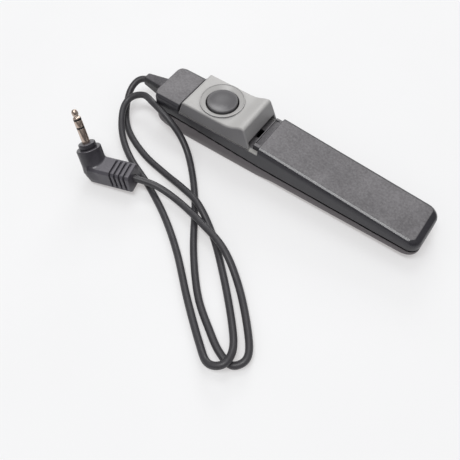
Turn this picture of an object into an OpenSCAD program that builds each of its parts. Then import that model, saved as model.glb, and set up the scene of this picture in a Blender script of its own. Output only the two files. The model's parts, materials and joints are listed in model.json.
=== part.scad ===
// Wired shutter release: a slim wand with a locking slider and a button,
// a thin cord and a right-angle three-contact plug.
// Frame: X along the wand (cord end at -X), Y across, Z up.
// Origin: centre of the wand's box, on the surface it rests on. Millimetres.

/* [Case] */
// Length of the case
case_len = 94; // [93:0.5:95]
// Half of the case's width at the parting line
case_hw = 8.1; // [8:0.05:8.2]
// Half of the case's width along its top edges
top_hw = 7.1; // [7:0.05:7.2]
// Height of the front block's flat top
block_top = 13.2; // [13.1:0.05:13.3]
// Height of the handle's top at its front
handle_top = 13.5; // [13.4:0.05:13.6]
// Height of the handle's top at its tail
tail_top = 8.6; // [8.4:0.05:8.8]
// Wall thickness of both shells
wall = 1.4; // [1.3:0.05:1.5]
// Width of the groove along the parting line
groove = 0.3; // [0.2:0.05:0.4]

/* [Slider] */
// Height of the slider's flat top
slider_top = 16.1; // [16:0.05:16.2]
// Height of the slider's thumb ridge
ridge_top = 18.2; // [18.1:0.05:18.3]
// Travel of the slider towards the tail
slide_travel = 2.8; // [2.6:0.1:2.8]
// Outer radius of the collar round the button
collar_r = 7.15; // [7:0.05:7.2]

/* [Button] */
// Position of the button's axis along the wand
button_x = -25.2; // [-25.4:0.1:-25]
// Radius of the button's cap
cap_r = 4.9; // [4.8:0.05:4.95]
// Radius of the hole that the cap moves in
well_r = 5.25; // [5.2:0.05:5.3]
// Height of the cap's rim
cap_top = 16.5; // [16.4:0.05:16.6]
// Radius of the button's stem
stem_r = 1.2; // [1.18:0.01:1.21]

/* [Cord] */
// Diameter of the cord
cord_d = 2.2; // [2.1:0.05:2.2]
// Height of the boot's axis
boot_z = 8; // [7.9:0.1:8.1]
// Length of the boot outside the case
boot_len = 9.5; // [9.3:0.1:9.5]
// Radius of the boot where it meets the case
boot_r = 3; // [2.8:0.1:3]

/* [Plug] */
// Radius of the plug's pin
pin_r = 1.25; // [1.24:0.01:1.25]
// Length of the plug's pin
pin_len = 11; // [10.8:0.1:11.2]
// Radius of the barrel at the elbow
barrel_r = 3.9; // [3.8:0.05:3.95]
// Width of the handle across its flats
grip_w = 7.8; // [7.6:0.1:7.9]

/* [Hidden] */
$fn = 48;
e = 0.01;
x0 = -case_len / 2;
x1 = case_len / 2;

// side profiles, X and Z
part_line = [[-60, 7.7], [-47, 7.6], [-36.5, 7.3], [-5, 5.4], [23.5, 5], [60, 4.5]];
belly = [[-60, 4.2], [-47, 3.6], [-44, 0.8], [-42, 0], [-7, 0], [-1, 1.4], [44, 2], [45.6, 2.6], [60, 4.4]];
belly_in = [[-45.6, 4.2], [-43.2, 1.7], [-41.6, 1.2], [-7.4, 1.2], [-1.6, 2.6], [44, 3.2], [45.6, 3.4]];

// cord route: boot, ground, two long loops, plug
route = [
  [-43.5, 0, 8], [-50, 0, 8], [-56, 0, 8], [-59.2, -1.6, 7.5], [-60, -5, 6], [-58.8, -9, 4],
  [-55.3, -14.2, 1.7], [-49.5, -18.6, 1.2], [-40, -22.5, 1.2], [-30, -24.6, 1.4], [-21.5, -26.6, 2.9], [-13.5, -29, 3.6],
  [-4, -34.5, 1.3], [7, -44.2, 1.2], [17, -54.4, 1.8], [21.7, -60.8, 3.6], [21.8, -65.4, 3.6], [18, -67, 2.4],
  [12.5, -63.4, 1.2], [2, -55, 1.2], [-9.5, -45, 1.2], [-20.5, -37.2, 1.2], [-32, -31, 1.2], [-43.5, -26, 1.3],
  [-51.5, -20.5, 2.4], [-56.3, -14.2, 4.9], [-56.8, -9.5, 6.7], [-52.8, -6.9, 8.4], [-46.4, -8.9, 9.8], [-39, -10.6, 8.4],
  [-32.5, -12.3, 4.5], [-26, -16.8, 1.5], [-16.5, -27, 1.2], [-6, -41.5, 1.2], [4, -52.6, 1.2], [13, -59.2, 1.2],
  [18.8, -62.6, 1.2], [23.6, -63.5, 1.3], [25.7, -59.8, 2.1], [22, -54, 2.1], [12, -44, 1.9], [2, -37.4, 3.8],
  [-9, -33.9, 3.9], [-20, -31.4, 3.3], [-28, -31.5, 4.4], [-34.4, -33.5, 5.4], [-36.5, -34, 5.2]
];

// plug: where the barrel's axis meets the grip's, and the two directions
elbow = [-47.5, -37, 4.2];
grip_az = 15;
grip_el = 5;
pin_az = 153;
pin_el = 59;
grip_len = 13.4;
pin_foot = 8.95;

// case screws: place along the wand and height of the seat under the head
screw_pos = [[2, 3.1], [36, 3.4]];

// ---- helpers ----
module box(a, b) { translate(a) cube([b[0] - a[0], b[1] - a[1], b[2] - a[2]]); }
// a side profile in X and Z, hw to each side of the middle
module side(p, hw) { translate([0, hw, 0]) rotate([90, 0, 0]) linear_extrude(2 * hw) polygon(p); }
// a cross-section in Y and Z, from xa to xb
module section(p, xa, xb) { translate([xa, 0, 0]) rotate([90, 0, 90]) linear_extrude(xb - xa) polygon(p); }
// plan outline with rounded corners
module plan(xa, xb, hw, ra, rb, za, zb) {
  translate([0, 0, za]) linear_extrude(zb - za) union() {
    translate([xa + ra, -hw]) square([xb - rb - xa - ra, 2 * hw]);
    translate([xa, -hw + ra]) square([ra + e, 2 * (hw - ra)]);
    translate([xb - rb - e, -hw + rb]) square([rb + e, 2 * (hw - rb)]);
    for (s = [-1, 1]) {
      translate([xa + ra, s * (hw - ra)]) circle(ra);
      translate([xb - rb, s * (hw - rb)]) circle(rb);
    }
  }
}
// points of a side profile moved up or down
function up(p, d) = [for (q = p) [q[0], q[1] + d]];
function rev(p) = [for (i = [len(p) - 1:-1:0]) p[i]];
// cylinder along X
module xcyl(xa, xb, y, z, r) { translate([xa, y, z]) rotate([0, 90, 0]) cylinder(h = xb - xa, r = r); }
module screw(head_r, head_h, shank_r, shank_l) {
  difference() {
    cylinder(h = head_h, r = head_r);
    for (a = [0, 90]) rotate([0, 0, a]) translate([-head_r * 0.6, -0.15, head_h - 0.4]) cube([head_r * 1.2, 0.3, 0.6]);
  }
  translate([0, 0, -shank_l]) cylinder(h = shank_l + e, r = shank_r);
}

// ---- case ----
module lower_case() color([0.13, 0.13, 0.14]) {
  difference() {
    intersection() {
      side(concat(belly, rev(up(part_line, -groove / 2))), 12);
      plan(x0, x1, case_hw, 2.6, 3.6, -1, 12);
      section([[-7.4, 0], [7.4, 0], [case_hw, 1.6], [case_hw + 0.1, 12], [-case_hw - 0.1, 12], [-case_hw, 1.6]], x0 - 1, x1 + 1);
    }
    intersection() {
      side(concat(belly_in, [[45.6, 14], [-45.6, 14]]), 12);
      plan(x0 + wall, x1 - wall, case_hw - wall, 1.4, 2.2, 0, 14);
    }
    xcyl(x0 - 1, x0 + 3, 0, boot_z, 2.3);
    for (p = screw_pos) translate([p[0], 0, 0]) cylinder(h = p[1], r = 1.8);
  }
  // bosses that the case screws pass through
  for (p = screw_pos) difference() {
    translate([p[0], 0, p[1] - 1]) cylinder(h = 2, r = 2.6);
    translate([p[0], 0, p[1] - 2]) cylinder(h = 2, r = 1.8);
    translate([p[0], 0, 0]) cylinder(h = 8, r = 0.95);
  }
  // posts under the contact block and the cord clamp
  for (y = [-4.6, 4.6]) difference() {
    translate([-38.5, y, 1]) cylinder(h = 2, r = 1.5);
    translate([-38.5, y, 1.2]) cylinder(h = 3, r = 0.6);
  }
  for (y = [-3.4, 3.4]) difference() {
    translate([-43.4, y, 1.6]) cylinder(h = 5.2, r = 1.3);
    translate([-43.4, y, 2.6]) cylinder(h = 6, r = 0.5);
  }
}

module deck_cuts() {
  // opening that the button's well moves in, and the slots for the slider's two legs
  box([button_x - 6.4, -6.4, 9], [button_x + 9.2, 6.4, 11]);
  box([button_x - 10.4, -1.7, 9], [button_x + 15.8, 1.7, 11]);
}

module upper_case() color([0.15, 0.15, 0.16]) {
  roof = [[-60, block_top], [-37.1, block_top], [-37.1, 10.6], [-9.1, 10.6], [-9.1, 12.8], [-6.6, 12.8], [-6.6, handle_top], [x1, tail_top], [60, tail_top - 1]];
  difference() {
    union() {
      difference() {
        intersection() {
          side(concat(up(part_line, groove / 2), rev(roof)), 12);
          plan(x0, x1, case_hw, 2.6, 3.6, 0, 20);
          section([[-case_hw, 0], [case_hw, 0], [case_hw, 10.9], [top_hw, 13.6], [-top_hw, 13.6], [-case_hw, 10.9]], x0 - 1, x1 + 1);
        }
        // hollow
        intersection() {
          side([[-45.6, 0], [45.6, 0], [45.6, 7.3], [-5.2, 12.2], [-5.2, 9.4], [-35.7, 9.4], [-35.7, 11.9], [-45.6, 11.9]], 12);
          plan(x0 + wall, x1 - wall, case_hw - wall, 1.4, 2.2, -1, 20);
        }
        // ledge beside the tongue
        for (s = [-1, 1]) box([-9.2, s > 0 ? 6.8 : -12, 10.6], [-6.6, s > 0 ? 12 : -6.8, 14]);
      }
      // screw bosses
      difference() {
        translate([2, 0, 5.4]) cylinder(h = 6.8, r = 2.2);
        translate([2, 0, 5]) cylinder(h = 3, r = 0.8);
      }
      difference() {
        translate([36, 0, 5.6]) cylinder(h = 3.2, r = 2.2);
        translate([36, 0, 4.9]) cylinder(h = 3, r = 0.8);
      }
    }
    deck_cuts();
    xcyl(x0 - 1, x0 + 3, 0, boot_z, 2.3);
  }
}

module slide_runner() color([0.66, 0.66, 0.64]) difference() {
  union() {
    box([-37, -7.7, 10.6], [-9.5, 7.7, 11.1]);
    box([-9.6, -8.1, 10.6], [-6.65, 8.1, 11.1]);
  }
  box([-36.2, -6.85, 10], [-6, 6.85, 12]);
}

// ---- slider ----
module lock_slider() color([0.5, 0.5, 0.49]) difference() {
  union() {
    difference() {
      intersection() {
        side([[-36.8, 11.2], [-35.3, slider_top], [-19, slider_top], [-16.8, slider_top + 0.5], [-14.6, ridge_top - 0.5], [-13.2, ridge_top], [-12.4, ridge_top - 0.2], [-11.9, ridge_top - 0.9], [-9.75, 11.2]], 12);
        section([[-8.25, 11], [8.25, 11], [7.75, slider_top], [7.3, ridge_top + 0.1], [-7.3, ridge_top + 0.1], [-7.75, slider_top]], -40, 0);
        plan(-36.8, -9.75, 8.25, 1.2, 1.6, 0, 30);
      }
      // hollow under the roof
      intersection() {
        side([[-35.7, 11], [-34.3, slider_top - 1.2], [-18, slider_top - 1.2], [-13.6, 16.6], [-12.6, 16.4], [-10.9, 11]], 12);
        section([[-7.15, 10], [7.15, 10], [6.6, slider_top - 1.2], [6.3, 17], [-6.3, 17], [-6.6, slider_top - 1.2]], -40, 0);
      }
      // notch that passes over the tongue
      box([-13, -7.05, 10], [-9, 7.05, 13.05]);
    }
    // well for the button, hung through the deck
    translate([button_x, 0, 8.2]) cylinder(h = slider_top - 8.2 - 0.2, r = 6.05);
    // collar round the button
    translate([button_x, 0, slider_top - 0.5]) cylinder(h = 0.9, r = collar_r);
    // legs that hold the retainer plate
    for (q = [[button_x - 8.7, slider_top - 0.6], [button_x + 11.3, slider_top + 1]]) translate([q[0], 0, 9.1]) cylinder(h = q[1] - 9.1, r = 1.4);
  }
  translate([button_x, 0, 9]) cylinder(h = 12, r = well_r);
  translate([button_x, 0, 7]) cylinder(h = 5, r = stem_r + 0.06);
  // dish of the collar
  translate([button_x, 0, slider_top + 0.05]) cylinder(h = 1, r1 = well_r, r2 = well_r + 4.2);
  for (x = [button_x - 8.7, button_x + 11.3]) translate([x, 0, 8]) cylinder(h = 4.4, r = 0.6);
}

module release_button() color([0.17, 0.17, 0.18]) translate([button_x, 0, 0]) {
  difference() {
    translate([0, 0, 13.2]) cylinder(h = cap_top - 13.2, r = cap_r);
    translate([0, 0, cap_top + 14.1]) sphere(r = 14.8, $fn = 96);
    difference() {
      translate([0, 0, 12]) cylinder(h = 2.6, r = 4.1);
      translate([0, 0, 12]) cylinder(h = 3, r = 1.9);
    }
  }
  difference() {
    translate([0, 0, 6.6]) cylinder(h = 8, r = stem_r);
    // groove for the clip
    difference() {
      translate([0, 0, 7.55]) cylinder(h = 0.5, r = 2);
      translate([0, 0, 7.5]) cylinder(h = 0.6, r = 0.85);
    }
    difference() {
      translate([0, 0, 6]) cylinder(h = 1, r = 2);
      translate([0, 0, 5.9]) cylinder(h = 1.2, r = 0.8);
    }
  }
}

// coil spring round the stem: a wire ring swept by its own rule
spring_n = 14;
spring_turns = 5;
function coil(i, r, za, zb, n) = let (t = i / n, a = 360 * spring_turns * t) [r * cos(a), r * sin(a), za + (zb - za) * t];
module button_return_spring() color([0.75, 0.75, 0.76]) translate([button_x, 0, 0]) {
  n = spring_n * spring_turns;
  r = 3; w = 0.22;
  pts = [for (i = [0:n]) let (a = 360 * spring_turns * i / n, c = coil(i, r, 9.24, 14.34, n))
    for (k = [0:5]) let (b = 60 * k) [c[0] + w * cos(b) * cos(a), c[1] + w * cos(b) * sin(a), c[2] + w * sin(b)]];
  faces = concat(
    [[for (k = [0:5]) k]],
    [[for (k = [5:-1:0]) n * 6 + k]],
    [for (i = [0:n - 1], k = [0:5]) let (a = i * 6 + k, b = i * 6 + (k + 1) % 6) [a, a + 6, b]],
    [for (i = [0:n - 1], k = [0:5]) let (a = i * 6 + k, b = i * 6 + (k + 1) % 6) [b, a + 6, b + 6]]);
  polyhedron(pts, faces);
}

module stem_clip() color([0.55, 0.55, 0.56]) translate([button_x, 0, 7.58]) difference() {
  cylinder(h = 0.44, r = 2.1);
  translate([0, 0, -1]) cylinder(h = 3, r = 0.85);
  box([0, -0.6, -1], [3, 0.6, 2]);
}

module retainer_plate() color([0.6, 0.6, 0.62]) difference() {
  box([button_x - 10.8, -6.1, 8.5], [button_x + 13.4, 6.1, 9.1]);
  translate([button_x, 0, 8]) cylinder(h = 2, r = 6.05);
  for (x = [button_x - 8.7, button_x + 11.3]) translate([x, 0, 8]) cylinder(h = 4, r = 0.7);
}

module retainer_screws() color([0.6, 0.6, 0.62])
  for (x = [button_x - 8.7, button_x + 11.3]) translate([x, 0, 8.5]) mirror([0, 0, 1]) screw(1.2, 0.7, 0.6, 3.6);

module detent_spring() color([0.7, 0.7, 0.7]) {
  // leaf under the deck that the retainer plate's end rides past
  box([-8.5, 3, 9.05], [-6.2, 5.6, 9.35]);
  box([-6.5, 3, 7.2], [-6.2, 5.6, 9.2]);
  translate([-7.6, 3, 8.95]) rotate([-90, 0, 0]) cylinder(h = 2.6, r = 0.35);
}

// ---- contacts ----
hinge_x = -36.2;
module contact_block() color([0.25, 0.16, 0.1]) difference() {
  union() {
    box([-41, -3.2, 3], [-36.4, 3.2, 7.6]);
    box([-40.2, -6.1, 3], [-36.8, 6.1, 4.6]);
  }
  box([-42, -1.2, 6.2], [-36, 1.2, 6.45]);
  box([-42, -2.9, 5.05], [-36, -0.5, 5.3]);
  box([-42, 0.5, 3.6], [-36, 2.9, 3.85]);
  for (y = [-4.6, 4.6]) translate([-38.5, y, 2]) cylinder(h = 4, r = 0.62);
}
module contact_tags() color([0.72, 0.6, 0.3]) {
  box([-42.6, -1.2, 6.2], [-36.4, 1.2, 6.45]);
  box([-41.8, -2.9, 5.05], [-36.4, -0.5, 5.3]);
  box([-42.6, -2, 5.05], [-41.7, -0.5, 5.3]);
}
module common_blade() color([0.72, 0.6, 0.3]) {
  box([hinge_x, -1.9, 6.2], [-20.6, 1.9, 6.45]);
  // rounded root on the bending line
  translate([hinge_x, -1.9, 6.325]) rotate([-90, 0, 0]) cylinder(h = 3.8, r = 0.125);
}
module half_press_blade() color([0.72, 0.6, 0.3]) {
  box([hinge_x, -2.6, 5.05], [-21.6, -0.5, 5.3]);
  translate([hinge_x, -2.6, 5.175]) rotate([-90, 0, 0]) cylinder(h = 2.1, r = 0.125);
}
module release_contact() color([0.72, 0.6, 0.3]) {
  box([-41.8, 0.5, 3.6], [-20.8, 2.9, 3.85]);
  box([-42.6, 0.5, 3.6], [-41.7, 2, 3.85]);
  // contact rivet and the prop that backs the tip
  translate([-21.6, 1.7, 2.9]) cylinder(h = 0.7 + e, r = 0.7);
}
module block_screws() color([0.6, 0.6, 0.62])
  for (y = [-4.6, 4.6]) translate([-38.5, y, 4.6]) screw(1.1, 0.7, 0.6, 2.9);

// ---- wires and clamp ----
module wire(p, r) tube(concat([for (i = [0:len(p) - 2], k = [0:2])
  cat(i == 0 ? 2 * p[0] - p[1] : p[i - 1], p[i], p[i + 1], i + 2 < len(p) ? p[i + 2] : 2 * p[i + 1] - p[i], k / 3)], [p[len(p) - 1]]), r, 8);
module wire_common() color([0.6, 0.1, 0.1]) wire([[-43.2, 0, 8.1], [-42.7, 0, 7.4], [-42.3, 0, 6.85]], 0.35);
module wire_half_press() color([0.85, 0.85, 0.82]) wire([[-43.2, -0.7, 7.8], [-43.1, -1.5, 6.4], [-42.3, -1.6, 5.7]], 0.3);
module wire_release() color([0.15, 0.15, 0.15]) wire([[-43.2, 0.7, 7.8], [-43.1, 1.5, 5.4], [-42.3, 1.6, 4.25]], 0.3);

module cord_clamp() color([0.6, 0.6, 0.62]) difference() {
  union() {
    box([-44.3, -4.4, 6.8], [-42.6, 4.4, 7.4]);
    xcyl(-44.3, -43.5, 0, boot_z, 1.9);
  }
  xcyl(-46, -43.4, 0, boot_z, cord_d / 2);
  box([-45, -2, 5], [-42, 2, 7.2]);
  for (y = [-3.4, 3.4]) translate([-43.4, y, 6]) cylinder(h = 3, r = 0.52);
  box([-43.5, -2.4, 6], [-42, 2.4, 8]);
}
module clamp_screws() color([0.6, 0.6, 0.62])
  for (y = [-3.4, 3.4]) translate([-43.4, y, 7.4]) screw(0.9, 0.6, 0.5, 3.6);

module case_screws() color([0.6, 0.6, 0.62])
  for (p = screw_pos) translate([p[0], 0, p[1]]) mirror([0, 0, 1]) screw(1.6, 1, 0.8, 4.2);

// ---- cord ----
module strain_relief_boot() color([0.14, 0.14, 0.15]) difference() {
  union() {
    xcyl(x0 - boot_len, x0, 0, boot_z, 1.75);
    translate([x0, 0, boot_z]) rotate([0, -90, 0]) cylinder(h = boot_len, r1 = boot_r, r2 = 1.75);
    xcyl(x0 - e, x0 + wall, 0, boot_z, 2.25);
    xcyl(x0 + wall, x0 + wall + 1, 0, boot_z, 2.9);
  }
  xcyl(x0 - boot_len - 1, x0 + 4, 0, boot_z, cord_d / 2 + 0.01);
}

// smooth curve through the route's points, and a tube swept along it
cord_sub = 2;
function cat(a, b, c, d, t) = 0.5 * (2 * b + (c - a) * t + (2 * a - 5 * b + 4 * c - d) * t * t + (3 * b - a - 3 * c + d) * t * t * t);
function seg_n(i) = norm(route[i + 1] - route[i]) > 7.2 ? cord_sub : 1;
function line_pts() = let (n = len(route)) concat([for (i = [0:n - 2]) for (k = [0:seg_n(i) - 1])
  cat(i == 0 ? 2 * route[0] - route[1] : route[i - 1], route[i], route[i + 1],
      i + 2 < n ? route[i + 2] : 2 * route[n - 1] - route[n - 2], k / seg_n(i))], [route[n - 1]]);
function unit(v) = v / norm(v);
// a round tube along a line of points
module tube(c, r, sides) {
  n = len(c) - 1;
  tan = [for (i = [0:n]) unit(c[min(i + 1, n)] - c[max(i - 1, 0)])];
  pts = [for (i = [0:n]) let (t = tan[i], u = unit(cross([0, 0, 1], t)), v = cross(t, u))
    for (k = [0:sides - 1]) let (a = 360 * (k + 0.5) / sides) c[i] + r * (cos(a) * u + sin(a) * v)];
  faces = concat(
    [[for (k = [0:sides - 1]) k]],
    [[for (k = [sides - 1:-1:0]) n * sides + k]],
    [for (i = [0:n - 1], k = [0:sides - 1]) let (a = i * sides + k, b = i * sides + (k + 1) % sides) [a, a + sides, b]],
    [for (i = [0:n - 1], k = [0:sides - 1]) let (a = i * sides + k, b = i * sides + (k + 1) % sides) [b, a + sides, b + sides]]);
  polyhedron(pts, faces);
}
module cord() color([0.12, 0.12, 0.13]) tube(line_pts(), cord_d / 2, 8);

// ---- plug ----
module grip_axis() translate(elbow) rotate([0, -grip_el, grip_az]) children();
module pin_axis() translate(elbow) rotate([0, -pin_el, pin_az]) children();
module along(xa, xb, r, f = 48) translate([xa, 0, 0]) rotate([0, 90, 0]) cylinder(h = xb - xa, r = r, $fn = f);
module plug_housing() color([0.14, 0.14, 0.15]) difference() {
  union() {
    grip_axis() translate([0, 0, 0]) rotate([22.5, 0, 0]) along(0, grip_len, grip_w / 2 / cos(22.5), 8);
    translate(elbow) sphere(r = barrel_r);
    pin_axis() along(0, pin_foot - 1.7, barrel_r);
  }
  // four slots round the grip
  for (i = [0:3]) grip_axis() translate([6.7 + i * 1.6, 0, 0]) difference() {
    box([0, -6, -6], [0.7, 6, 6]);
    rotate([22.5, 0, 0]) along(-1, 2, 3.2, 8);
    box([-1, -0.6, -6], [2, 0.6, 6]);
  }
  grip_axis() along(grip_len - 2, grip_len + 2, cord_d / 2 + 0.01);
}
module plug_collar() color([0.16, 0.16, 0.17]) pin_axis() along(pin_foot - 1.7, pin_foot, 2.7);
module plug_sleeve() color([0.75, 0.73, 0.7]) pin_axis() along(pin_foot, pin_foot + 4.7, pin_r);
module plug_ring() color([0.75, 0.73, 0.7]) pin_axis() along(pin_foot + 5.3, pin_foot + 7.3, pin_r);
module plug_insulators() color([0.05, 0.05, 0.05]) pin_axis() {
  along(pin_foot + 4.7, pin_foot + 5.3, pin_r - 0.02);
  along(pin_foot + 7.3, pin_foot + 7.9, pin_r - 0.02);
}
module plug_tip() color([0.75, 0.73, 0.7]) pin_axis() translate([pin_foot + 7.9, 0, 0]) rotate([0, 90, 0]) rotate_extrude()
  polygon([[0, 0], [pin_r, 0], [pin_r, 0.5], [0.82, 1.05], [0.82, 1.25], [1.18, 1.9], [1.05, 2.4], [0.55, pin_len - 7.9 - 0.15], [0.3, pin_len - 7.9], [0, pin_len - 7.9]]);

lower_case();
upper_case();
slide_runner();
lock_slider();
release_button();
button_return_spring();
stem_clip();
retainer_plate();
retainer_screws();
detent_spring();
contact_block();
contact_tags();
common_blade();
half_press_blade();
release_contact();
block_screws();
wire_common();
wire_half_press();
wire_release();
cord_clamp();
clamp_screws();
case_screws();
strain_relief_boot();
cord();
plug_housing();
plug_collar();
plug_sleeve();
plug_ring();
plug_tip();
plug_insulators();
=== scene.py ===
import json
import math

import bmesh
import bpy
import numpy as np
from mathutils import Matrix, Vector


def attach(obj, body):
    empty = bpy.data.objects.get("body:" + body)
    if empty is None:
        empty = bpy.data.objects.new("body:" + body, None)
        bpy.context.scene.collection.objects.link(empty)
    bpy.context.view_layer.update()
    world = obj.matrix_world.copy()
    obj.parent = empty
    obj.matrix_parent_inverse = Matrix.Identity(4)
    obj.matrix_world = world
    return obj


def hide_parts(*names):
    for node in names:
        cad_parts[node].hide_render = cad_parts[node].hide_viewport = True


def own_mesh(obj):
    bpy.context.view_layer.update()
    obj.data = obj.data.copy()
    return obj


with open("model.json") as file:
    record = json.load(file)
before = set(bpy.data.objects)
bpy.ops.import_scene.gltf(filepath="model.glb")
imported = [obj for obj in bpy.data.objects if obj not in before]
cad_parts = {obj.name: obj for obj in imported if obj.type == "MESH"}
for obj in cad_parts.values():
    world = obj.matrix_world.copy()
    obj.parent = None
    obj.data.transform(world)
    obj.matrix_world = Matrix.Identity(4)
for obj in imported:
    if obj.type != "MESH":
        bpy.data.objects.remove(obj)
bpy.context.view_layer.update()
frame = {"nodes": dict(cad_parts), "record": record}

MM = 0.001
scene = bpy.context.scene
scene.view_settings.view_transform = "Standard"

# ------------------------------------------------------------------ signed distances, in millimetres
A = np.abs


def rmax(a, b, r):
    """Inside both, with an outer edge rounded to r."""
    return np.minimum(np.maximum(a, b), -r) + np.sqrt(np.maximum(a + r, 0) ** 2 + np.maximum(b + r, 0) ** 2)


def rmin(a, b, r):
    """Inside either, with the inner corner filled to r."""
    return -rmax(-a, -b, r)


def cut(a, b, r):
    return rmax(a, -b, r)


def both(r, *parts):
    d = parts[0]
    for p in parts[1:]:
        d = rmax(d, p, r)
    return d


def rrect(u, v, hu, hv, r):
    qu, qv = A(u) - hu + r, A(v) - hv + r
    return np.sqrt(np.maximum(qu, 0) ** 2 + np.maximum(qv, 0) ** 2) + np.minimum(np.maximum(qu, qv), 0) - r


def disc(u, v, r):
    return np.sqrt(u * u + v * v) - r


def slab(w, lo, hi):
    return A(w - (lo + hi) / 2) - (hi - lo) / 2


def rod(u, v, w, r, lo, hi, e):
    """A rod along w with its end edges rounded to e."""
    return rmax(disc(u, v, r), slab(w, lo, hi), e)


def smooth_line(points, soft):
    """A height line through the points with its corners softened, as a function of position."""
    xs = np.array([p[0] for p in points], float)
    zs = np.array([p[1] for p in points], float)
    g = np.arange(xs[0] - 8, xs[-1] + 8, 0.05)
    z = np.interp(g, xs, zs)
    k = np.exp(-0.5 * (np.arange(-60, 61) * 0.05 / soft) ** 2)
    zz = np.convolve(np.pad(z, 60, mode="edge"), k / k.sum(), "valid")
    return lambda x: np.interp(x, g, zz)


# ------------------------------------------------------------------ from a distance to a mesh
def nets(f, lo, hi, h):
    lo = np.array(lo, float)
    n = np.ceil((np.array(hi, float) - lo) / h).astype(int) + 1
    ax = [lo[k] + h * np.arange(n[k]) for k in range(3)]
    X, Y, Z = np.meshgrid(*ax, indexing="ij", sparse=True)
    V = np.array(np.broadcast_to(f(X, Y, Z), tuple(n)))
    for k in range(3):
        edge = [slice(None)] * 3
        for end in (0, -1):
            edge[k] = end
            V[tuple(edge)] = np.maximum(V[tuple(edge)], 0.01)
    S = V < 0
    lin, pos, quads = [], [], []
    for k in range(3):
        a, b = [slice(None)] * 3, [slice(None)] * 3
        a[k], b[k] = slice(0, -1), slice(1, None)
        I = np.argwhere(S[tuple(a)] != S[tuple(b)])
        J = I.copy()
        J[:, k] += 1
        va, vb = V[tuple(I.T)], V[tuple(J.T)]
        P = I.astype(float)
        P[:, k] += va / (va - vb)
        i, j = (k + 1) % 3, (k + 2) % 3
        c = []
        for di, dj in ((0, 0), (1, 0), (1, 1), (0, 1)):
            C = I.copy()
            C[:, i] -= di
            C[:, j] -= dj
            c.append(np.ravel_multi_index(tuple(C.T), tuple(n)))
            lin.append(c[-1])
            pos.append(P)
        q = np.stack(c, 1)
        q[va >= 0] = q[va >= 0][:, ::-1]
        quads.append(q)
    lin, pos, quads = np.concatenate(lin), np.concatenate(pos), np.concatenate(quads)
    ids, inv = np.unique(lin, return_inverse=True)
    cnt = np.bincount(inv)
    P = np.stack([np.bincount(inv, pos[:, k]) / cnt for k in range(3)], 1) * h + lo
    for _ in range(4):
        d, g = f(P[:, 0], P[:, 1], P[:, 2]), gradient(f, P)
        step = (d / np.maximum((g * g).sum(1), 0.05))[:, None] * g
        size = np.linalg.norm(step, axis=1, keepdims=True)
        P -= step * np.minimum(1, 0.45 * h / np.maximum(size, 1e-9))
    return P, np.searchsorted(ids, quads)


def gradient(f, P, e=0.02):
    g = np.empty_like(P)
    for k in range(3):
        up, dn = P.copy(), P.copy()
        up[:, k] += e
        dn[:, k] -= e
        g[:, k] = (f(up[:, 0], up[:, 1], up[:, 2]) - f(dn[:, 0], dn[:, 1], dn[:, 2])) / (2 * e)
    return g


def corner_normals(mesh, g, h):
    """The function's own normal at each corner, or the face's where the surface turns away from it."""
    n = len(mesh.loops)
    vert = np.empty(n, int)
    mesh.loops.foreach_get("vertex_index", vert)
    total = np.empty(len(mesh.polygons), int)
    mesh.polygons.foreach_get("loop_total", total)
    fn = np.empty(len(mesh.polygons) * 3)
    mesh.polygons.foreach_get("normal", fn)
    area = np.empty(len(mesh.polygons))
    mesh.polygons.foreach_get("area", area)
    limit = np.where((total > 4) | (area > 2.5 * h * h), math.cos(math.radians(5)), math.cos(math.radians(34)))
    fn, limit = np.repeat(fn.reshape(-1, 3), total, axis=0), np.repeat(limit, total)
    own = g[vert]
    return np.where(((own * fn).sum(1) > limit)[:, None], own, fn), limit


def carved(name, f, lo, hi, h, mat, place=None, flat=0.35):
    """A piece from its distance function: quads, flat areas merged, normals from the function itself.
    place turns the function's own axes into the frame's."""
    P, Q = nets(f, lo, hi, h)
    bm = bmesh.new()
    vs = [bm.verts.new(p) for p in P]
    for q in Q.tolist():
        if len(set(q)) == 4:
            try:
                bm.faces.new([vs[i] for i in q])
            except ValueError:
                pass
    bmesh.ops.dissolve_limit(bm, angle_limit=math.radians(flat), use_dissolve_boundaries=False,
                             verts=bm.verts[:], edges=bm.edges[:])
    loose = [v for v in bm.verts if not v.link_faces]
    bmesh.ops.delete(bm, geom=loose, context="VERTS")
    mesh = bpy.data.meshes.new(name)
    bm.to_mesh(mesh)
    bm.free()
    co = np.array([v.co for v in mesh.vertices])
    g = gradient(f, co, 0.01)
    g /= np.maximum(np.linalg.norm(g, axis=1, keepdims=True), 1e-9)
    corner, limit = corner_normals(mesh, g, h)
    m = (place or Matrix.Identity(4)) @ Matrix.Identity(4)
    R = np.array(m.to_3x3())
    co = (co @ R.T + np.array(m.translation)) * MM
    corner = corner @ R.T
    mesh.vertices.foreach_set("co", co.ravel())
    mesh.polygons.foreach_set("use_smooth", [True] * len(mesh.polygons))
    mesh.update()
    mesh.normals_split_custom_set(corner.tolist())
    o = bpy.data.objects.new(name, mesh)
    scene.collection.objects.link(o)
    mesh.materials.append(mat)
    return o


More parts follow.
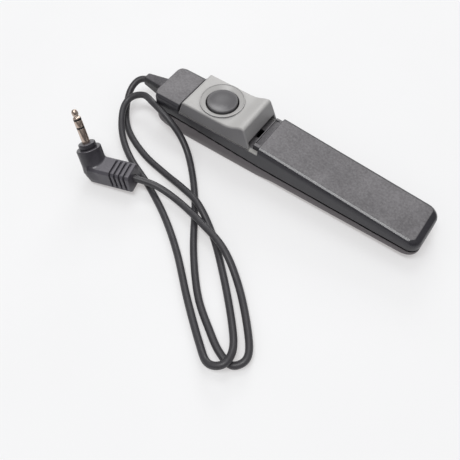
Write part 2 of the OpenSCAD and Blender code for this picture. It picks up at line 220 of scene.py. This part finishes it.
def turned(name, profile, mat, place, n=96, soft=0.0, steps=3):
    """A turned piece: a closed (radius, height) profile swept round, its corners rounded by soft."""
    pts = [Vector((r, z)) for r, z in profile]
    out = []
    for i, p in enumerate(pts):
        a, b = pts[i - 1], pts[(i + 1) % len(pts)]
        if soft and p.x > 1e-6 and 0 < i < len(pts) - 1:
            da, db = (a - p), (b - p)
            s = min(soft, da.length * 0.45, db.length * 0.45)
            A0, B0 = p + da.normalized() * s, p + db.normalized() * s
            for k in range(steps + 1):
                t = k / steps
                out.append(A0 * (1 - t) ** 2 + p * 2 * t * (1 - t) + B0 * t * t)
        else:
            out.append(p)
    bm = bmesh.new()
    rings = []
    for p in out:
        if p.x < 1e-6:
            rings.append([bm.verts.new((0, 0, p.y))] * n)
        else:
            rings.append([bm.verts.new((p.x * math.cos(2 * math.pi * k / n), p.x * math.sin(2 * math.pi * k / n), p.y)) for k in range(n)])
    for a, b in zip(rings, rings[1:]):
        for k in range(n):
            q = [a[k], a[(k + 1) % n], b[(k + 1) % n], b[k]]
            q = [v for i, v in enumerate(q) if v not in q[:i]]
            if len(q) > 2:
                bm.faces.new(q)
    bmesh.ops.recalc_face_normals(bm, faces=bm.faces)
    mesh = bpy.data.meshes.new(name)
    bm.to_mesh(mesh)
    bm.free()
    mesh.transform(Matrix.Scale(MM, 4) @ place)
    mesh.polygons.foreach_set("use_smooth", [True] * len(mesh.polygons))
    mesh.set_sharp_from_angle(angle=math.radians(38))
    mesh.materials.append(mat)
    o = bpy.data.objects.new(name, mesh)
    scene.collection.objects.link(o)
    return o


# ------------------------------------------------------------------ materials
def lin(r, g, b):
    return tuple((c / 255 / 12.92 if c / 255 <= 0.04045 else ((c / 255 + 0.055) / 1.055) ** 2.4) for c in (r, g, b)) + (1.0,)


class Nodes:
    def __init__(self, name):
        self.mat = bpy.data.materials.new(name)
        self.mat.use_nodes = True
        self.t = self.mat.node_tree
        self.bsdf = self.t.nodes["Principled BSDF"]
        self.coord = self.t.nodes.new("ShaderNodeTexCoord")

    def add(self, kind, links=(), **props):
        n = self.t.nodes.new(kind)
        for k, v in props.items():
            if hasattr(n, k):
                setattr(n, k, v)
            else:
                n.inputs[k.replace("_", " ")].default_value = v
        for src, dst in links:
            self.t.links.new(src, n.inputs[dst])
        return n

    def noise(self, scale, detail=3.0, rough=0.5, stretch=None):
        src = self.coord.outputs["Object"]
        if stretch:
            m = self.add("ShaderNodeMapping", [(src, "Vector")])
            m.inputs["Scale"].default_value = stretch
            src = m.outputs["Vector"]
        n = self.add("ShaderNodeTexNoise", [(src, "Vector")])
        n.inputs["Scale"].default_value = scale
        n.inputs["Detail"].default_value = detail
        n.inputs["Roughness"].default_value = rough
        return n.outputs["Fac"]

    def ramp(self, fac, stops):
        n = self.add("ShaderNodeValToRGB", [(fac, "Fac")])
        e = n.color_ramp.elements
        while len(e) < len(stops):
            e.new(0.5)
        for s, (p, c) in zip(e, stops):
            s.position = p
            s.color = c
        return n.outputs["Color"]

    def span(self, fac, a, b, lo=0.0, hi=1.0):
        n = self.add("ShaderNodeMapRange", [(fac, "Value")])
        n.inputs["From Min"].default_value = lo
        n.inputs["From Max"].default_value = hi
        n.inputs["To Min"].default_value = a
        n.inputs["To Max"].default_value = b
        return n.outputs["Result"]

    def math(self, op, a, b):
        n = self.t.nodes.new("ShaderNodeMath")
        n.operation = op
        for k, v in enumerate((a, b)):
            if isinstance(v, (int, float)):
                n.inputs[k].default_value = v
            else:
                self.t.links.new(v, n.inputs[k])
        return n.outputs[0]

    def bump(self, height, distance, strength=1.0, normal=None):
        n = self.add("ShaderNodeBump", [(height, "Height")] + ([(normal, "Normal")] if normal else []))
        n.inputs["Distance"].default_value = distance
        n.inputs["Strength"].default_value = strength
        return n.outputs["Normal"]

    def set(self, **kw):
        for k, v in kw.items():
            k = k.replace("_", " ")
            if hasattr(v, "links") and not isinstance(v, (tuple, float, int)):
                self.t.links.new(v, self.bsdf.inputs[k])
            else:
                self.bsdf.inputs[k].default_value = v
        return self


def plastic(name, dark, light, rough, grain=1800.0, depth=0.00002, specular=0.5, mottle=180.0):
    """Moulded plastic: a slow colour drift, a fine moulding grain and uneven gloss."""
    m = Nodes(name)
    slow, fine = m.noise(mottle, 2.0), m.noise(grain, 4.0, 0.6)
    mix = m.math("ADD", m.math("MULTIPLY", slow, 0.6), m.math("MULTIPLY", fine, 0.4))
    m.set(Base_Color=m.ramp(mix, [(0.3, dark), (0.7, light)]),
          Roughness=m.span(fine, rough - 0.05, rough + 0.06, 0.3, 0.7),
          Normal=m.bump(fine, depth))
    m.bsdf.inputs["Specular IOR Level"].default_value = specular
    return m


def metal(name, dark, light, rough, stretch=(1, 1, 1), scale=2500.0):
    m = Nodes(name)
    fine, slow = m.noise(scale, 3.0, 0.6, stretch), m.noise(300.0, 2.0)
    m.set(Base_Color=m.ramp(slow, [(0.3, dark), (0.7, light)]), Metallic=1.0,
          Roughness=m.span(fine, rough - 0.06, rough + 0.08, 0.3, 0.7), Normal=m.bump(fine, 0.000004))
    return m


def moulding(name, side, top, grain_depth=0.00003, grain=1500.0, side_rough=0.38, top_rough=0.55, specular=0.5,
             facing=(0.90, 0.985), spread=15, edge_rough=0.27, painted_light_band=None):
    """Black moulding, matt and grained, smoother on its sides and rubbed at its edges. Its colour holds painted light:
    faces turned up get a colour of their own, lighter where light falls on them and darker where they sit in shade, and
    the optional band paints the sides lighter from one x onwards.
    """
    m = Nodes(name)
    sep = m.add("ShaderNodeSeparateXYZ", [(m.coord.outputs["Normal"], "Vector")])
    # Painted light: faces turned up take a colour of their own, lighter where light falls on them and darker where they
    # sit in shade; the sides keep the side colour.
    up = m.span(sep.outputs["Z"], 0.0, 1.0, *facing)
    big = m.noise(grain, 4.0, 0.6)
    fine = m.noise(grain * 2.1, 3.0)
    slow = m.noise(130.0, 2.0)
    col = m.math("ADD", m.math("MULTIPLY", slow, 0.35), m.math("MULTIPLY", big, 0.65))
    side_painted_light_col = m.ramp(col, [(0.32, lin(*(c - 4 for c in side))), (0.68, lin(*(c + 4 for c in side)))])
    top_painted_light_col = m.ramp(col, [(0.36, lin(*(c - spread for c in top))), (0.64, lin(*(c + spread for c in top)))])
    # Painted light: from x = at to x = end the side colour blends into a lighter copy, so sides the light falls on look
    # lighter than the rest of the same moulding.
    if painted_light_band:
        at, end, shade = painted_light_band
        where = m.add("ShaderNodeSeparateXYZ", [(m.coord.outputs["Object"], "Vector")])
        painted_light_band_col = m.ramp(col, [(0.32, lin(*(c - 4 for c in shade))), (0.68, lin(*(c + 4 for c in shade)))])
        step = m.add("ShaderNodeMix", data_type="RGBA")
        m.t.links.new(m.span(where.outputs["X"], 0.0, 1.0, at, end), step.inputs[0])
        m.t.links.new(side_painted_light_col, step.inputs[6])
        m.t.links.new(painted_light_band_col, step.inputs[7])
        side_painted_light_col = step.outputs[2]
    mix = m.add("ShaderNodeMix", data_type="RGBA")
    m.t.links.new(up, mix.inputs[0])
    m.t.links.new(side_painted_light_col, mix.inputs[6])
    m.t.links.new(top_painted_light_col, mix.inputs[7])
    rough = m.ramp(sep.outputs["Z"], [(0.0, (side_rough,) * 3 + (1,)), (0.55, (edge_rough + 0.03,) * 3 + (1,)), (0.92, (edge_rough,) * 3 + (1,)), (0.99, (top_rough,) * 3 + (1,))])
    worn = m.math("ADD", rough, m.span(fine, -0.03, 0.04, 0.3, 0.7))
    height = m.math("MULTIPLY", m.math("ADD", big, m.math("MULTIPLY", fine, 0.5)), m.span(up, 0.1, 1.0))
    m.set(Base_Color=mix.outputs[2], Roughness=worn, Normal=m.bump(height, grain_depth, 0.8))
    m.bsdf.inputs["Specular IOR Level"].default_value = specular
    return m.mat


M = {
    # case_plastic: the lighter colour of faces turned up is partly the top's real grain and partly painted light; the
    # sides keep the dark black.
    "case_plastic": moulding("case_black", (43, 42, 47), (109, 107, 109), edge_rough=0.2),
    # case_lower: faces turned up are near black, painted shade for the lip inside the parting groove under the upper
    # shell; the sides are lighter and pinkish, a painted reflection of the warm floor.
    "case_lower": moulding("case_black_lower", (84, 78, 81), (22, 22, 24), spread=3),
    "runner_plastic": plastic("runner_grey", lin(150, 149, 147), lin(166, 165, 162), 0.45).mat,
    # slider_plastic: one grey plastic painted as two, the sides darker as painted shade and the top and ramp lighter as
    # painted light.
    "slider_plastic": moulding("slider_grey", (112, 111, 113), (182, 181, 179), grain_depth=0.000006, grain=2400.0, top_rough=0.42, facing=(0.1, 0.9), spread=4, edge_rough=0.3),
    "button_plastic": plastic("button_black", lin(82, 81, 83), lin(92, 91, 93), 0.34, grain=2400.0, depth=0.000008).mat,
    "spring_steel": metal("spring_steel", lin(165, 165, 168), lin(190, 190, 192), 0.28).mat,
    "plate_steel": metal("plate_steel", lin(160, 162, 166), lin(186, 187, 190), 0.36, (1, 12, 1)).mat,
    "screw_steel": metal("screw_steel", lin(150, 150, 155), lin(180, 180, 184), 0.32).mat,
    "block_resin": plastic("block_brown", lin(58, 36, 24), lin(74, 47, 31), 0.5).mat,
    "contact_brass": metal("contact_brass", lin(190, 150, 78), lin(214, 176, 98), 0.30, (1, 10, 1)).mat,
    "wire_red": plastic("wire_red", lin(150, 22, 22), lin(172, 32, 28), 0.42).mat,
    "wire_white": plastic("wire_white", lin(212, 210, 204), lin(226, 224, 220), 0.42).mat,
    "wire_black": plastic("wire_black", lin(28, 28, 30), lin(38, 38, 40), 0.42).mat,
    # boot_rubber: the lighter colour of faces turned up is painted light on the same black rubber.
    "boot_rubber": moulding("boot_black", (44, 43, 46), (78, 76, 79), grain_depth=0.00001),
    "cord_jacket": plastic("cord_black", lin(50, 49, 52), lin(62, 61, 64), 0.40, grain=1500.0, depth=0.000012).mat,
    # plug_moulding: the lighter colour of faces turned up is painted light, and the band lightens the grip's sides,
    # fully from x = -44.5 mm onwards, as painted light; barrel and grip are one black moulding.
    "plug_moulding": moulding("plug_black", (46, 44, 50), (104, 102, 107), grain_depth=0.00001, spread=6, facing=(0.80, 0.98), painted_light_band=(-0.0475, -0.0445, (74, 72, 78))),
    # pin_nickel: darker and browner than bare nickel; partly nickel's own warm tone, partly a painted reflection of
    # dark, brownish surroundings.
    "pin_nickel": metal("pin_nickel", lin(176, 158, 146), lin(200, 184, 172), 0.18).mat,
    "insulator_black": plastic("insulator_black", lin(18, 17, 18), lin(28, 27, 28), 0.4).mat,
}

record = frame["record"]


def slots_of(record):
    """Node name to slot name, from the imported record's sub-parts."""
    out = {}
    for row in record.get("subparts", []):
        node = row.get("node") or row.get("name")
        for s in row.get("material_slots", []) or [row.get("material_slot") or row.get("slot")]:
            if s:
                out[node] = s
    return out


NODE_SLOT = slots_of(record)
for node, o in frame["nodes"].items():
    m = M.get(NODE_SLOT.get(node, ""), M["plate_steel"])
    if not o.material_slots:
        o.data.materials.append(m)
    for s in o.material_slots:
        s.material = m


def finish_piece(o, body, slot, *nodes):
    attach(o, body)
    if nodes:
        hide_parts(*nodes)
    return o


# ------------------------------------------------------------------ case shells
HALF = 47.5
part_z = smooth_line([(-60, 7.7), (-47, 7.6), (-36.5, 7.3), (-5, 5.4), (23.5, 5), (60, 4.5)], 0.7)
belly_z = smooth_line([(-60, 4.2), (-47, 3.6), (-44, 0.8), (-42, 0), (-7, 0), (-1, 1.4), (44, 2), (45.6, 2.6), (60, 4.4)], 0.35)
belly_in = smooth_line([(-60, 5.2), (-45.6, 4.2), (-43.2, 1.7), (-41.6, 1.2), (-7.4, 1.2), (-1.6, 2.6), (44, 3.2), (45.6, 3.4), (60, 4)], 0.2)


def plan(x, y, inset):
    r = np.where(x < 0, 2.6, 3.3)
    ends = np.where(x < 0, 0.25, 2.0)
    return rrect(x - np.where(x < 0, 0, 0.6), y, HALF - inset * ends, 8.1 - inset, np.maximum(r - inset * 0.3, 0.6))


def shoulder(w):
    """How far the wall leans in at a depth w below the top: an arc down from the crease."""
    q = np.clip(2.25 - w, 0, 3.0)
    return 3.5 - np.sqrt(12.25 - q * q)


def handle_top(x):
    return 13.5 - (x + 6.6) * (13.5 - 8.6) / (HALF + 6.6)


def upper_shell(x, y, z):
    zp = part_z(x)
    zt = np.where(x < -23, 13.2, handle_top(np.maximum(x, -6.6)))
    lean = np.interp(x, [-37.3, -37.0, -9.2, -8.9], [0.9, 0.0, 0.0, 1.0])
    wall = plan(x, y, lean * shoulder(zt - z))
    block = rmax(z - 13.2, x + 37.1, 0.3)
    deck = rmax(z - 10.6, x + 6.0, 0.1)
    tongue = both(0.25, z - 12.8, -(x + 9.1), x + 6.0, A(y) - 6.8)
    handle = rmax((z - handle_top(x)) * 0.9958, -(x + 6.6), 0.3)
    roof = np.minimum(np.minimum(block, handle), rmin(deck, tongue, 0.15))
    d = rmax(wall, roof, 0.15)
    bevel = np.maximum(A(y) - 6.72, x - 45.9) * 0.469 + (z - zt) * 0.883
    d = rmax(d, np.where((x < -37.3) | (x > -9.0), bevel, -5.0), 0.12)
    d = rmax(d, zp + 0.36 - z, 0.1)
    # shallow recess in the tongue, with a rounded end
    d = cut(d, both(0.06, rrect(x + 7.75, y - 0.2, 1.05, 5.7, 0.3), (12.2 + (x + 8.8) * 0.3) - z), 0.08)
    # hollow
    roof_in = np.interp(x, [-45.6, -35.9, -35.7, -5.3, -5.1, 45.6], [11.9, 11.9, 9.4, 9.4, 12.1, 7.3])
    hole = rmax(rrect(x, y, HALF - 1.4, 6.7, 1.8), z - roof_in, 0.3)
    d = cut(d, hole, 0.15)
    # screw bosses and their bores
    for cx, top in ((2.0, 12.0), (36.0, 8.6)):
        r = disc(x - cx, y, 2.2)
        d = rmin(d, both(0.15, r, 5.5 - z, z - top), 0.3)
        d = cut(d, both(0.05, disc(x - cx, y, 0.8), z - 8.0, 4.0 - z), 0.1)
    # opening for the well, slots for the slider's legs, cord hole
    d = cut(d, both(0.3, rrect(x + 23.8, y, 7.8, 6.4, 0.8), slab(z, 9.0, 11.0)), 0.12)
    d = cut(d, both(0.3, rrect(x + 22.5, y, 13.1, 1.7, 0.5), slab(z, 9.0, 11.0)), 0.12)
    d = cut(d, both(0.1, disc(y, z - 8.0, 2.3), x + 44.0), 0.15)
    return d


def lower_shell(x, y, z):
    zp, zb = part_z(x), belly_z(x)
    wall = plan(x, y, 0 * x)
    wall = rmax(wall, (A(y) - 7.4 - (z - 0) * 0.4375) * 0.916, 0.8)
    d = rmax(wall, (zb - z) * 0.97, 0.5)
    d = rmax(d, z - (zp - 0.34), 0.1)
    lip = both(0.04, rrect(x, y, HALF - 1.0, 7.1, 2.2), z - (zp + 0.3), zp - 1.2 - z)
    d = np.minimum(d, lip)
    d = cut(d, both(0.3, rrect(x, y, HALF - 1.4, 6.7, 1.8), belly_in(x) - z), 0.15)
    for cx, seat in ((2.0, 3.1), (36.0, 3.4)):
        r = disc(x - cx, y, 2.6)
        d = rmin(d, both(0.1, r, slab(z, 1.4, seat + 1.0)), 0.2)
        d = cut(d, both(0.05, disc(x - cx, y, 1.8), z - seat), 0.18)
        d = cut(d, disc(x - cx, y, 0.95), 0.08)
    for s in (-1, 1):
        post = both(0.1, disc(x + 38.5, y - s * 4.6, 1.5), slab(z, 0.6, 3.0))
        d = rmin(d, cut(post, both(0.05, disc(x + 38.5, y - s * 4.6, 0.6), 1.2 - z), 0.08), 0.2)
        post = both(0.1, disc(x + 43.4, y - s * 3.4, 1.3), slab(z, 0.9, 6.8))
        d = rmin(d, cut(post, both(0.05, disc(x + 43.4, y - s * 3.4, 0.5), 2.6 - z), 0.08), 0.2)
    d = cut(d, both(0.1, disc(y, z - 8.0, 2.3), x + 44.0), 0.15)
    return d


upper = carved("upper_case_shell", upper_shell, (-48.2, -8.5, 4), (48.7, 8.5, 14), 0.2, M["case_plastic"])
finish_piece(upper, "root", "case_plastic", "upper_case")
lower = carved("lower_case_shell", lower_shell, (-48.2, -8.5, -0.4), (48.7, 8.5, 8.4), 0.22, M["case_lower"])
finish_piece(lower, "root", "case_plastic", "lower_case")

# ------------------------------------------------------------------ slider
BX = -25.2
ramp_z = smooth_line([(-45, 16.1), (-19.6, 16.1), (-18.2, 16.22), (-16.8, 16.6), (-15.6, 17.15), (-14.5, 17.75), (-13.5, 18.15), (-12.8, 18.25), (-11, 18.2), (-5, 18.2)], 0.5)


def slider(x, y, z):
    u = x - BX
    rr = disc(u, y, 0)
    front = (-(x + 36.8) + (z - 11.2) * 0.306) * 0.956
    back = ((x + 9.75) + (z - 11.2) * 0.352) * 0.943
    side = A(y) - np.interp(z, [11.0, 16.1, 18.3], [8.2, 7.93, 7.72])
    d = rmax(front, side, 0.6)
    d = rmax(d, rmax(back, side, 0.6), 0.6)
    d = rmax(d, (z - ramp_z(x)) * 0.97, 0.8)
    d = rmax(d, 11.2 - z, 0.2)
    # hollow under the roof
    inner = both(0.4, -(x + 35.6) + (z - 11.2) * 0.3, (x + 11.0) + (z - 11.2) * 0.35, A(y) - (7.15 - (z - 11) * 0.12), z - (ramp_z(x) - 1.2))
    d = cut(d, inner, 0.2)
    # notch over the tongue
    d = cut(d, both(0.35, A(y) - 7.05, z - 13.05, -(x + 13.0)), 0.2)
    # collar round the button, then the dish and the well
    d = rmin(d, both(0.14, rr - 7.15, slab(z, 15.0, 16.7)), 0.05)
    d = rmin(d, both(0.15, rr - 6.05, slab(z, 8.2, 15.9)), 0.3)
    for lx, top in ((BX - 8.7, 15.4), (BX + 11.3, 17.0)):
        d = rmin(d, both(0.1, disc(x - lx, y, 1.4), slab(z, 9.1, top)), 0.25)
        d = cut(d, both(0.05, disc(x - lx, y, 0.6), slab(z, 8.0, 12.4)), 0.08)
    dish = (15.75 + (rr - 5.25) * 0.5) - z
    d = cut(d, both(0.1, dish, rr - 6.8), 0.12)
    d = cut(d, both(0.1, rr - 5.25, 9.0 - z), 0.18)
    d = cut(d, rr - 1.26, 0.08)
    return d


sl = carved("slider_body", slider, (-37.2, -8.6, 7.9), (-9.3, 8.6, 18.7), 0.16, M["slider_plastic"])
finish_piece(sl, "slider", "slider_plastic", "lock_slider")


# ------------------------------------------------------------------ button
def button(x, y, z):
    u = x - BX
    rr = disc(u, y, 0)
    d = both(0.4, rr - 4.9, 13.2 - z, z - 16.5)
    ball = np.sqrt(u * u + y * y + (z - 30.6) ** 2) - 14.8
    d = cut(d, ball, 0.22)
    ring = both(0.2, 1.9 - rr, rr - 4.1, z - 14.6)
    d = cut(d, ring, 0.12)
    stem = both(0.12, rr - 1.2, slab(z, 6.6, 14.6))
    stem = cut(stem, both(0.02, 0.85 - rr, slab(z, 7.55, 8.05)), 0.05)
    stem = cut(stem, both(0.02, 0.8 - rr, z - 7.0), 0.1)
    return rmin(d, stem, 0.15)


bt = carved("button_cap", button, (BX - 5.2, -5.2, 6.3), (BX + 5.2, 5.2, 16.9), 0.13, M["button_plastic"])
finish_piece(bt, "button", "button_plastic", "release_button")


# ------------------------------------------------------------------ spring under the button
def coil_spring(name, r, w, lo, hi, turns, mat, sides=12, per_turn=40):
    """A round-wire compression spring with a closed turn at each end."""
    n = int(turns * per_turn)
    bm = bmesh.new()
    rings = []
    for i in range(n + 1):
        t = i / n * turns
        rise = min(max((t - 0.9) / (turns - 1.8), 0), 1)
        pitch = lo + (hi - lo) * (0.06 * min(t, 0.9) / 0.9 + 0.88 * rise + 0.06 * max(t - turns + 0.9, 0) / 0.9)
        a = 2 * math.pi * t
        rings.append([bm.verts.new(((BX + (r + w * math.cos(b)) * math.cos(a)) * MM, (r + w * math.cos(b)) * math.sin(a) * MM,
                                    (pitch + w * math.sin(b)) * MM)) for b in (2 * math.pi * k / sides for k in range(sides))])
    for p, q in zip(rings, rings[1:]):
        for k in range(sides):
            bm.faces.new([p[k], p[(k + 1) % sides], q[(k + 1) % sides], q[k]])
    bm.faces.new(rings[0][::-1])
    bm.faces.new(rings[-1])
    bmesh.ops.recalc_face_normals(bm, faces=bm.faces)
    mesh = bpy.data.meshes.new(name)
    bm.to_mesh(mesh)
    bm.free()
    mesh.polygons.foreach_set("use_smooth", [True] * len(mesh.polygons))
    mesh.set_sharp_from_angle(angle=math.radians(50))
    mesh.materials.append(mat)
    o = bpy.data.objects.new(name, mesh)
    scene.collection.objects.link(o)
    return o


spring = coil_spring("return_spring", 3.0, 0.21, 9.25, 14.32, 6, M["spring_steel"])
finish_piece(spring, "slider", "spring_steel", "button_return_spring")
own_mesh(spring)


# ------------------------------------------------------------------ boot
def boot(x, y, z):
    s = np.clip((-47.5 - x) / 9.5, 0, 1)
    hy = 3.0 - 1.25 * s
    hz = 2.85 - 1.15 * s
    d = rrect(y, z - 8.0, hy, hz, 1.15)
    d = rmax(d, slab(x, -57.0, -47.5), 0.35)
    neck = rod(y, z - 8.0, x, 2.25, -47.6, -46.1, 0.1)
    flange = rod(y, z - 8.0, x, 2.9, -46.1, -45.1, 0.1)
    d = np.minimum(np.minimum(d, neck), flange)
    return cut(d, disc(y, z - 8.0, 1.11), 0.12)


bo = carved("boot_taper", boot, (-57.4, -3.4, 4.7), (-44.8, 3.4, 11.3), 0.13, M["boot_rubber"])
finish_piece(bo, "root", "boot_rubber", "strain_relief_boot")

# ------------------------------------------------------------------ plug
ELBOW = Vector((-47.5, -37.0, 4.2))


def axis_frame(az, el):
    """Columns: the direction itself, then the two across it, as OpenSCAD turns them."""
    return Matrix.Translation(ELBOW) @ Matrix.Rotation(math.radians(az), 4, "Z") @ Matrix.Rotation(-math.radians(el), 4, "Y")


GRIP, PIN = axis_frame(15, 5), axis_frame(153, 59)
REL = np.array(PIN.inverted() @ GRIP)


def grip_section(y, z, w, k, r):
    """Square, 2w across, its corners cut off at k from the middle."""
    d = rmax(A(y) - w, A(z) - w, r)
    return rmax(d, (A(y) + A(z)) * 0.70711 - k, r)


def plug(x, y, z):
    """In the grip's own axes: x runs along the grip towards the cord."""
    px = REL[0, 0] * x + REL[0, 1] * y + REL[0, 2] * z + REL[0, 3]
    py = REL[1, 0] * x + REL[1, 1] * y + REL[1, 2] * z + REL[1, 3]
    pz = REL[2, 0] * x + REL[2, 1] * y + REL[2, 2] * z + REL[2, 3]
    grip = rmax(grip_section(y, z, 3.5, 4.4, 0.12), slab(x, -1.0, 13.4), 0.3)
    for i in range(4):
        s = 6.7 + 1.6 * i
        g = both(0.1, slab(x, s, s + 0.7), -grip_section(y, z, 2.75, 3.55, 0.15), 0.6 - A(y - z) * 0.70711)
        grip = cut(grip, g, 0.12)
    ball = np.sqrt(x * x + y * y + z * z) - 3.9
    barrel = rod(py, pz, px, 3.9, 0.0, 7.25, 0.3)
    d = rmin(rmin(grip, ball, 0.6), barrel, 0.6)
    return cut(d, both(0.1, disc(y, z, 1.11), 11.4 - x), 0.1)


pl = carved("plug_body", plug, (-9.0, -6.5, -6.5), (14.0, 6.5, 8.6), 0.16, M["plug_moulding"], place=GRIP)
finish_piece(pl, "root", "plug_moulding", "plug_housing")

up_axis = PIN @ Matrix.Rotation(math.radians(90), 4, "Y")
F = 8.95
pc = turned("plug_collar_ring", [(0, F - 1.7), (2.7, F - 1.7), (2.7, F), (0, F)], M["plug_moulding"], up_axis, soft=0.3)
finish_piece(pc, "root", "plug_moulding", "plug_collar")
ps = turned("pin_sleeve", [(0, F), (1.25, F), (1.25, F + 4.7), (0, F + 4.7)], M["pin_nickel"], up_axis, soft=0.08)
finish_piece(ps, "root", "pin_nickel", "plug_sleeve")
pr = turned("pin_ring", [(0, F + 5.3), (1.25, F + 5.3), (1.25, F + 7.3), (0, F + 7.3)], M["pin_nickel"], up_axis, soft=0.08)
finish_piece(pr, "root", "pin_nickel", "plug_ring")
pt = turned("pin_tip", [(0, F + 7.9), (1.25, F + 7.9), (1.25, F + 8.2), (0.78, F + 8.6), (0.78, F + 8.85), (0.98, F + 9.2), (0.98, F + 10.0), (0.7, F + 10.6), (0.45, F + 10.75), (0, F + 10.75)], M["pin_nickel"], up_axis, soft=0.12)
finish_piece(pt, "root", "pin_nickel", "plug_tip")
for k, a in enumerate((4.7, 7.3)):
    pi = turned("pin_insulator_%d" % (k + 1), [(0, F + a), (1.23, F + a), (1.23, F + a + 0.6), (0, F + a + 0.6)], M["insulator_black"], up_axis, soft=0.05)
    finish_piece(pi, "root", "insulator_black")
    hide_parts("plug_insulators")

# ------------------------------------------------------------------ cord
ROUTE = [
    (-43.5, 0, 8), (-50, 0, 8), (-56, 0, 8), (-59.2, -1.6, 7.5), (-60, -5, 6), (-58.8, -9, 4),
    (-55.3, -14.2, 1.7), (-49.5, -18.6, 1.2), (-40, -22.5, 1.2), (-30, -24.6, 1.4), (-21.5, -26.6, 2.9), (-13.5, -29, 3.6),
    (-4, -34.5, 1.3), (7, -44.2, 1.2), (17, -54.4, 1.8), (21.7, -60.8, 3.6), (21.8, -65.4, 3.6), (18, -67, 2.4),
    (12.5, -63.4, 1.2), (2, -55, 1.2), (-9.5, -45, 1.2), (-20.5, -37.2, 1.2), (-32, -31, 1.2), (-43.5, -26, 1.3),
    (-51.5, -20.5, 2.4), (-56.3, -14.2, 4.9), (-56.8, -9.5, 6.7), (-52.8, -6.9, 8.4), (-46.4, -8.9, 9.8), (-39, -10.6, 8.4),
    (-32.5, -12.3, 4.5), (-26, -16.8, 1.5), (-16.5, -27, 1.2), (-6, -41.5, 1.2), (4, -52.6, 1.2), (13, -59.2, 1.2),
    (18.8, -62.6, 1.2), (23.6, -63.5, 1.3), (25.7, -59.8, 2.1), (22, -54, 2.1), (12, -44, 1.9), (2, -37.4, 3.8),
    (-9, -33.9, 3.9), (-20, -31.4, 3.3), (-28, -31.5, 4.4), (-34.4, -33.5, 5.4), (-36.5, -34, 5.2),
]


def smooth_route(points, n):
    P = [np.array(p, float) for p in points]
    P = [2 * P[0] - P[1]] + P + [2 * P[-1] - P[-2]]
    out = []
    for a, b, c, d in zip(P, P[1:], P[2:], P[3:]):
        for k in range(n):
            t = k / n
            out.append(0.5 * (2 * b + (c - a) * t + (2 * a - 5 * b + 4 * c - d) * t * t + (3 * b - a - 3 * c + d) * t ** 3))
    return out + [P[-2]]


line = smooth_route(ROUTE, 8)
for q in line:
    q[2] = max(q[2], 1.1)
cu = bpy.data.curves.new("cord_jacket", "CURVE")
cu.dimensions = "3D"
sp = cu.splines.new("POLY")
sp.points.add(len(line) - 1)
for p, q in zip(sp.points, line):
    p.co = (q[0] * MM, q[1] * MM, q[2] * MM, 1)
sp.use_smooth = True
cu.bevel_depth = 1.1 * MM
cu.bevel_resolution = 5
cu.use_fill_caps = True
cu.materials.append(M["cord_jacket"])
cord = bpy.data.objects.new("cord_jacket", cu)
scene.collection.objects.link(cord)
finish_piece(cord, "root", "cord_jacket", "cord")

# ------------------------------------------------------------------ floor, light, camera
def floor_material():
    m = Nodes("paper_floor")
    n = m.noise(14.0, 3.0)
    fine = m.noise(900.0, 3.0)
    m.set(Base_Color=m.ramp(n, [(0.3, lin(189, 192, 193)), (0.7, lin(192, 195, 196))]), Normal=m.bump(fine, 0.000004),
          Roughness=m.span(n, 0.62, 0.68))
    m.bsdf.inputs["Specular IOR Level"].default_value = 0.1
    m.bsdf.inputs["Emission Color"].default_value = (1.0, 0.955, 0.945, 1)
    m.bsdf.inputs["Emission Strength"].default_value = 0.37
    return m.mat


bm = bmesh.new()
bmesh.ops.create_grid(bm, x_segments=8, y_segments=8, size=2.0)
fm = bpy.data.meshes.new("floor")
bm.to_mesh(fm)
bm.free()
fm.materials.append(floor_material())
floor = bpy.data.objects.new("floor", fm)
floor.location = (0, 0, -0.00003)
scene.collection.objects.link(floor)

world = bpy.data.worlds.new("studio")
scene.world = world
world.use_nodes = True
wt = world.node_tree
sky = wt.nodes.new("ShaderNodeTexCoord")
split = wt.nodes.new("ShaderNodeSeparateXYZ")
band = wt.nodes.new("ShaderNodeValToRGB")
wt.links.new(sky.outputs["Generated"], split.inputs["Vector"])
wt.links.new(split.outputs["Z"], band.inputs["Fac"])
wt.links.new(band.outputs["Color"], wt.nodes["Background"].inputs["Color"])
stops = band.color_ramp.elements
for at in (0.06, 0.10, 0.25, 0.55):
    stops.new(at)
for stop, (at, v) in zip(stops, ((0.0, 0.9), (0.06, 0.85), (0.10, 0.1), (0.25, 0.28), (0.55, 0.86), (1.0, 1.0))):
    stop.position = at
    stop.color = (v, v * 0.995, v * 1.01, 1)
wt.nodes["Background"].inputs["Strength"].default_value = 0.62


def softbox(name, at, target, w, h, watts, colour=(1, 1, 1)):
    l = bpy.data.lights.new(name, "AREA")
    l.shape = "RECTANGLE"
    l.size, l.size_y = w, h
    l.energy = watts
    l.color = colour
    o = bpy.data.objects.new(name, l)
    o.location = at
    o.rotation_euler = (Vector(target) - Vector(at)).to_track_quat("-Z", "Y").to_euler()
    scene.collection.objects.link(o)
    return o


softbox("key", (-0.28, 0.39, 0.76), (0, -0.02, 0), 0.38, 0.34, 1.15)
softbox("rim", (-0.01, -0.23, 0.74), (0, -0.02, 0), 0.42, 0.16, 2.4)
softbox("back", (-0.4, 0.74, 0.37), (0, -0.02, 0), 0.4, 0.25, 1.8)

cam = bpy.data.cameras.new("camera")
cam.sensor_width = 36
cam.lens = 46.04
cam.shift_y = -0.0033
cam.clip_start = 0.01
cam.clip_end = 10
co = bpy.data.objects.new("camera", cam)
co.location = (0.05281, -0.10577, 0.15088)
co.rotation_mode = "QUATERNION"
co.rotation_quaternion = Vector((-0.3075, 0.4329, -0.8474)).to_track_quat("-Z", "Y")
scene.collection.objects.link(co)
scene.camera = co
